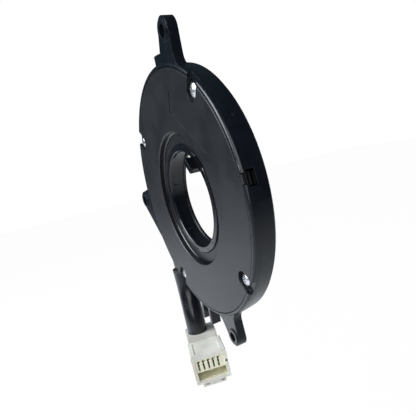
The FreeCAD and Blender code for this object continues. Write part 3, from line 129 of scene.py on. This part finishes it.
class Graph:
    """The node graph of one material."""

    def __init__(self, name: str) -> None:
        """Starts an empty material with a surface shader and its output."""
        self.material = bpy.data.materials.new(name)
        self.material.use_nodes = True
        self.tree = self.material.node_tree
        self.tree.nodes.clear()
        output = self.node("ShaderNodeOutputMaterial")
        self.shader = self.node("ShaderNodeBsdfPrincipled")
        self.tree.links.new(self.shader.outputs[0], output.inputs["Surface"])
        place = self.node("ShaderNodeTexCoord")
        self.place = place.outputs["Object"]

    def node(self, kind: str, settings: Optional[dict] = None,
             inputs: Optional[dict] = None) -> bpy.types.Node:
        """Adds any node.

        Args:
            kind: the node's type name.
            settings: the node's properties.
            inputs: numbers, colours, sockets or values by input name or number.

        Returns:
            The new node.
        """
        made = self.tree.nodes.new(kind)
        for name, value in (settings or {}).items():
            setattr(made, name, value)
        for name, value in (inputs or {}).items():
            self.feed(made.inputs[name], value)
        return made

    def feed(self, socket: bpy.types.NodeSocket, value: object) -> None:
        """Links or sets one input socket.

        Args:
            socket: the input.
            value: a Value, a socket, a number or a tuple.
        """
        if isinstance(value, Value):
            self.tree.links.new(value.socket, socket)
        elif isinstance(value, bpy.types.NodeSocket):
            self.tree.links.new(value, socket)
        elif isinstance(value, tuple) and len(value) == 3 and socket.type == "RGBA":
            socket.default_value = (*value, 1.0)
        else:
            socket.default_value = value

    def noise(self, size: float, detail: float = 2.0, stretch: Tuple[float, float, float] = (1, 1, 1),
              roughness: float = 0.5) -> Value:
        """Fractal noise on object coordinates.

        Args:
            size: size of the largest blotches, in metres.
            detail: octaves of finer noise.
            stretch: factors that squeeze the pattern along each axis.
            roughness: how strong the finer octaves are.

        Returns:
            A value about 0.5, from 0 to 1.
        """
        scaled = self.node("ShaderNodeMapping", {}, {"Vector": self.place,
                                                     "Scale": tuple(s / size for s in stretch)})
        made = self.node("ShaderNodeTexNoise", {}, {"Vector": scaled.outputs[0], "Scale": 1.0,
                                                    "Detail": detail, "Roughness": roughness})
        return Value(self, made.outputs["Fac"])

    def cells(self, size: float) -> Value:
        """Distance pattern of scattered points, such as pits.

        Args:
            size: spacing of the points, in metres.

        Returns:
            The distance, zero at the points.
        """
        made = self.node("ShaderNodeTexVoronoi", {"feature": "F1"},
                         {"Vector": self.place, "Scale": 1.0 / size})
        return Value(self, made.outputs["Distance"])

    def axis(self, letter: str) -> Value:
        """One object coordinate, in metres."""
        made = self.node("ShaderNodeSeparateXYZ", {}, {"Vector": self.place})
        return Value(self, made.outputs[letter])

    def mix(self, amount: Operand, first: object, second: object) -> bpy.types.NodeSocket:
        """Mixes two colours.

        Args:
            amount: share of the second colour.
            first: colour or socket.
            second: colour or socket.

        Returns:
            The mixed colour's socket.
        """
        made = self.node("ShaderNodeMix", {"data_type": "RGBA", "blend_type": "MIX"})
        for name, value in (("Factor_Float", amount), ("A_Color", first), ("B_Color", second)):
            socket = next(s for s in made.inputs if s.identifier == name)
            self.feed(socket, value)
        return next(s for s in made.outputs if s.identifier == "Result_Color")

    def edges(self, radius: float) -> Value:
        """Share by which the surface turns within a radius: high on worn edges."""
        bevel = self.node("ShaderNodeBevel", {"samples": 4}, {"Radius": radius})
        shape = self.node("ShaderNodeNewGeometry")
        dot = self.node("ShaderNodeVectorMath", {"operation": "DOT_PRODUCT"},
                        {0: bevel.outputs[0], 1: shape.outputs["Normal"]})
        return 1.0 - Value(self, dot.outputs["Value"])

    def relief(self, height: Value, depth: float, below: Optional[bpy.types.NodeSocket] = None
               ) -> bpy.types.NodeSocket:
        """Turns a height into a bumped normal.

        Args:
            height: height pattern from 0 to 1.
            depth: height of the relief in metres.
            below: normal that it is laid on.

        Returns:
            The bumped normal's socket.
        """
        inputs = {"Height": height, "Distance": depth, "Strength": 1.0}
        if below is not None:
            inputs["Normal"] = below
        return self.node("ShaderNodeBump", {}, inputs).outputs[0]

    def set(self, **values: object) -> None:
        """Sets or links the shader's own sockets; underscores stand for spaces."""
        for name, value in values.items():
            self.feed(self.shader.inputs[name.replace("_", " ")], value)


@dataclass(frozen=True)
class Inset:
    """A box-shaped part of a piece, turned about Z, that has a colour of its own."""

    origin: Tuple[float, float, float]
    turn: float
    near: float
    far: float
    half_width: float
    low: float
    high: float
    colour: Colour

    def share(self, graph: Graph) -> Value:
        """One inside the box and zero outside it.

        The place is first turned back about Z, so that depth runs out of the box's mouth.

        Args:
            graph: the material's graph.

        Returns:
            The share.
        """
        x = graph.axis("X") - self.origin[0]
        y = graph.axis("Y") - self.origin[1]
        z = graph.axis("Z") - self.origin[2]
        cos, sin = math.cos(math.radians(self.turn)), math.sin(math.radians(self.turn))
        depth = 0.0 - (x * cos + y * sin)
        across = y * cos - x * sin
        inside = (depth > self.near) * (self.far - depth > 0.0)
        inside = inside * (self.half_width ** 2 - across * across > 0.0)
        return inside * (z > self.low) * (self.high - z > 0.0)


@dataclass(frozen=True)
class PolishedWall:
    """A ring about the rotor's axis where the mould was polished."""

    inner: float
    outer: float
    front: float
    gloss: float = 0.8

    def share(self, graph: Graph) -> Value:
        """One on the ring's wall and zero elsewhere.

        The squared distance from the axis, x squared plus z squared, lies between the two
        squared radii, and Y lies behind the front face.

        Args:
            graph: the material's graph.

        Returns:
            The share.
        """
        x, y, z = graph.axis("X"), graph.axis("Y"), graph.axis("Z")
        reach = x * x + z * z
        ring = (reach > self.inner ** 2) * (self.outer ** 2 - reach > 0.0)
        return ring * (y > self.front)


@dataclass(frozen=True)
class MouldedPlastic:
    """Injection moulded plastic with fine grain, cloudy gloss and worn edges."""

    colour: Colour
    roughness: float = 0.4
    grain: Grain = Grain.SPARK_ERODED
    grain_size: float = 0.00022
    grain_depth: float = 0.000012
    cloud: float = 0.12
    wear: float = 0.06
    dust: float = 0.0
    edge: float = 0.00018
    clearness: float = 0.0
    inset: Optional[Inset] = None
    polished: Optional[PolishedWall] = None

    def make(self, name: str) -> bpy.types.Material:
        """Builds the material.

        Args:
            name: the material's name.

        Returns:
            The material.
        """
        graph = Graph(name)
        clouds = graph.noise(0.012, 3.0)
        fine = graph.noise(self.grain_size, 2.0)
        bright = tuple(min(1.0, c * (1.0 + self.cloud) + 0.004) for c in self.colour)
        dark = tuple(c * (1.0 - self.cloud) for c in self.colour)
        base = graph.mix(clouds.ramp(0.3, 0.7), dark, bright)
        if self.inset is not None:
            base = graph.mix(self.inset.share(graph), base, self.inset.colour)
        worn = graph.edges(self.edge * 1.6).ramp(0.02, 0.22) * graph.noise(0.0016, 4.0).ramp(0.35, 0.65)
        pale = tuple(min(1.0, c * 1.6 + 0.03) for c in self.colour)
        base = graph.mix(worn * self.wear, base, pale)
        rough = self.roughness + (clouds - 0.5) * 0.14 + (fine - 0.5) * 0.1
        if self.dust > 0.0:
            specks = graph.noise(0.0009, 5.0, roughness=0.7).ramp(0.62, 0.78)
            lying = specks * graph.noise(0.02, 2.0).ramp(0.35, 0.75) * self.dust
            base = graph.mix(lying, base, (0.34, 0.33, 0.31))
            rough = rough + lying * 0.3
        if self.polished is not None:
            rough = rough * (1.0 - self.polished.share(graph) * self.polished.gloss)
        rounded = graph.node("ShaderNodeBevel", {"samples": 4}, {"Radius": self.edge}).outputs[0]
        if self.grain is Grain.SPARK_ERODED:
            pits = graph.cells(self.grain_size * 2.2).ramp(0.0, 0.8)
            height = fine * 0.6 + pits * 0.4
        elif self.grain is Grain.EXTRUDED:
            height = fine * 0.4 + clouds * 0.6
        else:
            height = fine
        graph.set(Base_Color=base, Roughness=rough,
                  Normal=graph.relief(height, self.grain_depth, rounded))
        graph.set(IOR=1.5)
        if self.clearness > 0.0:
            graph.set(Subsurface_Weight=self.clearness, Subsurface_Scale=0.002)
        return graph.material


@dataclass(frozen=True)
class PlatedMetal:
    """Plated or turned metal with fine rings or brush lines and a few stains."""

    colour: Colour
    roughness: float = 0.28
    line_size: float = 0.00009
    line_depth: float = 0.000004
    stain: float = 0.25

    def make(self, name: str) -> bpy.types.Material:
        """Builds the material.

        Args:
            name: the material's name.

        Returns:
            The material.
        """
        graph = Graph(name)
        stains = graph.noise(0.0014, 4.0).ramp(0.45, 0.8)
        lines = graph.noise(self.line_size, 1.0, (1.0, 1.0, 0.12))
        tarnish = tuple(c * 0.55 for c in self.colour)
        rounded = graph.node("ShaderNodeBevel", {"samples": 4}, {"Radius": 0.00012}).outputs[0]
        graph.set(Base_Color=graph.mix(stains * self.stain, self.colour, tarnish),
                  Metallic=1.0,
                  Roughness=self.roughness + stains * 0.2 + (lines - 0.5) * 0.16,
                  Normal=graph.relief(lines, self.line_depth, rounded))
        return graph.material


@dataclass(frozen=True)
class SolderMask:
    """Green board with tracks under the mask and tinned pads."""

    colour: Colour = (0.012, 0.11, 0.045)
    track: Colour = (0.03, 0.2, 0.07)

    def make(self, name: str) -> bpy.types.Material:
        """Builds the material.

        Args:
            name: the material's name.

        Returns:
            The material.
        """
        graph = Graph(name)
        across = (graph.noise(0.004, 0.0, (1.0, 1.0, 0.15)) * 34.0)
        saw = graph.node("ShaderNodeMath", {"operation": "PINGPONG"}, {0: across, 1: 1.0})
        tracks = Value(graph, saw.outputs[0]).ramp(0.45, 0.55)
        pads = 1.0 - graph.cells(0.0035).ramp(0.10, 0.13)
        weave = graph.noise(0.0003, 2.0)
        base = graph.mix(tracks, self.colour, self.track)
        base = graph.mix(pads, base, (0.6, 0.6, 0.58))
        graph.set(Base_Color=base, Metallic=pads, Roughness=0.28 + weave * 0.12,
                  Normal=graph.relief(tracks * 0.8 + weave * 0.2, 0.00002))
        return graph.material


@dataclass(frozen=True)
class VinylTube:
    """Glossy black soft vinyl with fine draw lines and a dusty bloom."""

    colour: Colour = (0.005, 0.006, 0.009)
    roughness: float = 0.2
    flutes: float = 0.0004

    def make(self, name: str) -> bpy.types.Material:
        """Builds the material.

        Args:
            name: the material's name.

        Returns:
            The material.
        """
        graph = Graph(name)
        bloom = graph.noise(0.006, 4.0).ramp(0.4, 0.8)
        draw = graph.noise(0.0028, 1.0, (1.0, 1.0, 0.05))
        lines = graph.noise(0.0006, 2.0, (1.0, 1.0, 0.06))
        orange_peel = graph.noise(0.0022, 2.0)
        base = graph.mix(bloom * 0.35, self.colour, (0.02, 0.022, 0.028))
        broad = graph.relief(draw, self.flutes)
        graph.set(Base_Color=base, Roughness=self.roughness + bloom * 0.12 + (lines - 0.5) * 0.08,
                  Normal=graph.relief(lines * 0.35 + orange_peel * 0.65, 0.00004, broad))
        return graph.material


def dress(node: str, material: bpy.types.Material) -> None:
    """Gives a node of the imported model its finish.

    Args:
        node: name of the node.
        material: the finish.
    """
    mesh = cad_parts[node].data
    mesh.materials.clear()
    mesh.materials.append(material)


def grid_mesh(name: str, points: np.ndarray) -> bpy.types.Object:
    """Makes a mesh from a grid of points.

    Args:
        name: the piece's name.
        points: array of rows by columns by 3.

    Returns:
        The new object, linked to the scene.
    """
    rows, columns = points.shape[:2]
    index = np.arange(rows * columns).reshape(rows, columns)
    left, right = index[:, :-1], index[:, 1:]
    faces = np.stack([left[:-1], right[:-1], right[1:], left[1:]], axis=-1).reshape(-1, 4)
    mesh = bpy.data.meshes.new(name)
    mesh.from_pydata(points.reshape(-1, 3).tolist(), [], faces.tolist())
    mesh.polygons.foreach_set("use_smooth", np.ones(len(faces), dtype=bool))
    mesh.update()
    item = bpy.data.objects.new(name, mesh)
    bpy.context.scene.collection.objects.link(item)
    return item


@dataclass
class Body:
    """Housing, cover, rotor, gears and the screws that hold them."""

    black: MouldedPlastic = MouldedPlastic((0.003, 0.005, 0.009), 0.27, dust=0.1, wear=0.05)
    cover_black: MouldedPlastic = MouldedPlastic((0.007, 0.008, 0.0105), 0.42, dust=0.14, wear=0.05,
                                                 polished=PolishedWall(0.0262, 0.0275, -0.0039))
    rotor_black: MouldedPlastic = MouldedPlastic((0.004, 0.005, 0.0075), 0.14, Grain.POLISHED,
                                                 0.0005, 0.000006)
    natural: MouldedPlastic = MouldedPlastic((0.72, 0.7, 0.63), 0.35, Grain.POLISHED, 0.0006,
                                             0.000005, clearness=0.15)
    zinc: PlatedMetal = PlatedMetal((0.72, 0.73, 0.76), 0.3)
    nickel: PlatedMetal = PlatedMetal((0.42, 0.41, 0.4), 0.34)

    def build(self) -> None:
        """Dresses the mechanical pieces."""
        dress("housing", self.black.make("housing black"))
        dress("cover", self.cover_black.make("cover black"))
        dress("rotor", self.rotor_black.make("rotor black"))
        acetal = self.natural.make("natural acetal")
        for which in ("a", "b"):
            dress(f"measuring_gear_{which}", acetal)
            dress(f"magnet_{which}", self.nickel.make(f"magnet nickel {which}"))
        zinc = self.zinc.make("bright zinc")
        for node in ("cover_screws", "board_screws", "gear_pins"):
            dress(node, zinc)


@dataclass
class Electronics:
    """The circuit board and what is soldered to it."""

    mask: SolderMask = SolderMask()
    epoxy: MouldedPlastic = MouldedPlastic((0.022, 0.022, 0.024), 0.5, grain_size=0.00012)
    ceramic: MouldedPlastic = MouldedPlastic((0.42, 0.29, 0.19), 0.45, Grain.POLISHED)
    can: PlatedMetal = PlatedMetal((0.75, 0.75, 0.77), 0.25)
    nylon: MouldedPlastic = MouldedPlastic((0.78, 0.77, 0.72), 0.42, Grain.POLISHED)

    def build(self) -> None:
        """Dresses the board and its parts."""
        dress("circuit_board", self.mask.make("green board"))
        epoxy = self.epoxy.make("chip epoxy")
        for node in ("angle_sensor_a", "angle_sensor_b", "microcontroller", "bus_transceiver",
                     "voltage_regulator"):
            dress(node, epoxy)
        ceramic = self.ceramic.make("chip ceramic")
        for node in ("board_capacitors", "board_resistors"):
            dress(node, ceramic)
        dress("crystal", self.can.make("crystal can"))
        dress("board_header", self.nylon.make("header nylon"))


@dataclass
class Cable:
    """The grommet, the leads and the black sleeve."""

    rubber: MouldedPlastic = MouldedPlastic((0.012, 0.012, 0.012), 0.55, Grain.EXTRUDED)
    insulation: MouldedPlastic = MouldedPlastic((0.4, 0.04, 0.03), 0.3, Grain.EXTRUDED)
    vinyl: VinylTube = VinylTube()

    def build(self) -> None:
        """Dresses the sleeve, the grommet and the leads."""
        dress("cable_grommet", self.rubber.make("grommet rubber"))
        dress("lead_wires", self.insulation.make("lead insulation"))
        dress("cable_sleeve", self.vinyl.make("sleeve vinyl"))


@dataclass
class Plug:
    """The hood, shell, insert and contacts of the plug."""

    shell_grey: MouldedPlastic = MouldedPlastic(
        (0.7, 0.69, 0.62), 0.42, Grain.SPARK_ERODED, 0.0002, 0.000008, wear=0.05, clearness=0.1,
        inset=Inset((-0.0142, -0.0066, -0.0833), -16.5, 0.0003, 0.0165, 0.0076, -0.0064, 0.0057,
                    (0.8, 0.77, 0.6)))
    hood_grey: MouldedPlastic = MouldedPlastic((0.6, 0.59, 0.55), 0.45, Grain.SPARK_ERODED, 0.0002,
                                               0.000008, wear=0.05, clearness=0.1)
    cream: MouldedPlastic = MouldedPlastic((0.74, 0.71, 0.52), 0.4, Grain.POLISHED, clearness=0.1)
    tin: PlatedMetal = PlatedMetal((0.7, 0.66, 0.5), 0.3)

    def build(self) -> None:
        """Dresses the plug's pieces."""
        dress("wire_cover", self.hood_grey.make("hood grey"))
        dress("connector_shell", self.shell_grey.make("shell grey"))
        dress("terminal_lock", self.cream.make("lock cream"))
        dress("connector_terminals", self.tin.make("tinned contacts"))


@dataclass
class Studio:
    """Floor, dim surround, lamps and the camera of the photograph."""

    eye: Tuple[float, float, float] = (0.15254, -0.06288, 0.01658)
    right: Tuple[float, float, float] = (0.4917, 0.8476, -0.1994)
    up: Tuple[float, float, float] = (-0.1813, 0.3237, 0.9286)
    back: Tuple[float, float, float] = (0.8517, -0.4205, 0.3128)
    lens: float = 33.99
    shift: Tuple[float, float] = (-0.0770, 0.1701)
    floor_drop: float = 0.12

    def build(self) -> None:
        """Sets up everything around the object."""
        bpy.context.scene.view_settings.view_transform = "Standard"
        self.add_camera()
        self.add_floor()
        self.add_surround()
        self.add_lamps()

    def add_camera(self) -> None:
        """Puts the camera where the photograph was taken from."""
        data = bpy.data.cameras.new("camera")
        data.sensor_width = 36.0
        data.lens = self.lens
        data.shift_x, data.shift_y = self.shift
        data.clip_start = 0.005
        camera = bpy.data.objects.new("camera", data)
        turn = Matrix((self.right, self.up, self.back)).transposed()
        camera.matrix_world = Matrix.Translation(self.eye) @ turn.to_4x4()
        bpy.context.scene.collection.objects.link(camera)
        bpy.context.scene.camera = camera

    def add_floor(self) -> None:
        """A large pale floor under the object, plain and without a pattern."""
        low = CAD_BOX[0][2] - self.floor_drop
        half = 3.0
        across, along = np.meshgrid(np.linspace(-half, half, 5), np.linspace(-half, half, 5))
        points = np.stack([across, along, np.full_like(across, low)], axis=-1)
        floor = grid_mesh("floor", points)
        graph = Graph("pale floor")
        graph.set(Base_Color=(0.82, 0.82, 0.82), Roughness=0.9)
        self.whiten(graph)
        floor.data.materials.append(graph.material)

    def whiten(self, graph: Graph) -> None:
        """Lifts a stage material towards white for rays from the camera."""
        path = graph.node("ShaderNodeLightPath")
        seen = Value(graph, path.outputs["Is Camera Ray"])
        glow = graph.node("ShaderNodeEmission", {}, {"Color": (1.0, 1.0, 1.0), "Strength": 1.0})
        joined = graph.node("ShaderNodeMixShader", {}, {0: seen * 0.98, 1: graph.shader.outputs[0],
                                                        2: glow.outputs[0]})
        output = next(n for n in graph.tree.nodes if n.type == "OUTPUT_MATERIAL")
        graph.tree.links.new(joined.outputs[0], output.inputs["Surface"])

    def add_surround(self) -> None:
        """White surround for the camera and a dim one that lights the object."""
        world = bpy.data.worlds.new("surround")
        bpy.context.scene.world = world
        world.use_nodes = True
        tree = world.node_tree
        tree.nodes.clear()
        output = tree.nodes.new("ShaderNodeOutputWorld")
        shown = tree.nodes.new("ShaderNodeBackground")
        shown.inputs["Color"].default_value = (1.0, 1.0, 1.0, 1.0)
        shown.inputs["Strength"].default_value = 1.0
        light = tree.nodes.new("ShaderNodeBackground")
        light.inputs["Color"].default_value = (0.55, 0.78, 1.0, 1.0)
        light.inputs["Strength"].default_value = 0.06
        path = tree.nodes.new("ShaderNodeLightPath")
        joined = tree.nodes.new("ShaderNodeMixShader")
        tree.links.new(path.outputs["Is Camera Ray"], joined.inputs[0])
        tree.links.new(light.outputs[0], joined.inputs[1])
        tree.links.new(shown.outputs[0], joined.inputs[2])
        tree.links.new(joined.outputs[0], output.inputs["Surface"])

    def lamp(self, name: str, place: Tuple[float, float, float], target: Tuple[float, float, float],
             size: Tuple[float, float], power: float, spread: float = 180.0,
             colour: Colour = (1.0, 1.0, 1.0)) -> None:
        """Adds a soft rectangular lamp.

        Args:
            name: the lamp's name.
            place: its centre.
            target: the point that it faces.
            size: its width and height in metres.
            power: in watts.
            spread: full angle of its beam in degrees.
            colour: of its light.
        """
        data = bpy.data.lights.new(name, "AREA")
        data.shape = "RECTANGLE"
        data.size, data.size_y = size
        data.energy = power
        data.spread = math.radians(spread)
        data.color = colour
        item = bpy.data.objects.new(name, data)
        item.location = place
        item.rotation_euler = (Vector(target) - Vector(place)).to_track_quat("-Z", "Y").to_euler()
        bpy.context.scene.collection.objects.link(item)

    def add_lamps(self) -> None:
        """A window at the left and a broad panel behind the camera."""
        cool = (0.9, 0.95, 1.0)
        self.lamp("window", (-0.45, -0.95, 0.5), (-0.4, -0.25, -0.2), (1.2, 0.9), 8.5, 80.0, cool)
        self.lamp("panel", (0.8, -0.5, 0.4), (-0.02, 0.0, -0.08), (1.0, 1.0), 2.4, 90.0)


def main() -> None:
    """Builds the scene piece by piece."""
    logging.basicConfig(level=logging.INFO)
    Studio().build()
    LOG.info("studio ready")
    Cable().build()
    LOG.info("cable dressed")
    Body().build()
    LOG.info("body dressed")
    Electronics().build()
    LOG.info("electronics dressed")
    Plug().build()
    LOG.info("plug dressed")


if __name__ == "__main__":
    main()
